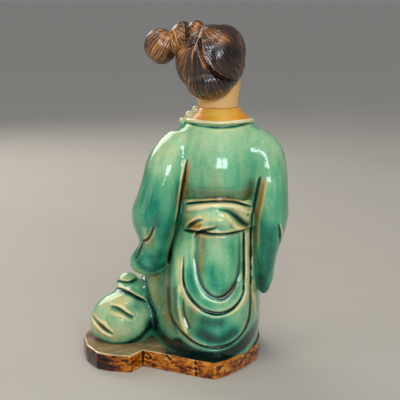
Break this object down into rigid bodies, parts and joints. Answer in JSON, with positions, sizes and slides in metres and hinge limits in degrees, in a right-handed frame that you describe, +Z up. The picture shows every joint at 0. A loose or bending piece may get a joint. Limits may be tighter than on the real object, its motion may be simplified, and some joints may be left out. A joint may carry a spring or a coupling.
{
  "type": "mudman figurine",
  "caption": "Glazed stoneware figurine of a lady in a wide-sleeved robe, sitting on a low rock with her legs swept to one side and her hair in a side knot.",
  "frame": {"origin": "on the flat underside of the rock, below the middle of her seat", "axes": "+Z up, -Y the way her chest faces, +X to her left, where her legs are swept"},
  "size_m": [0.1477, 0.1213, 0.2402],
  "materials": {
    "glazed_stoneware": "glossy green running glaze that thins to cream on edges and pools dark in folds, with ochre collar and skin, brown combed hair and an amber rock"
  },
  "bodies": {
    "root": {"figurine": "glazed_stoneware"}
  },
  "joints": []
}
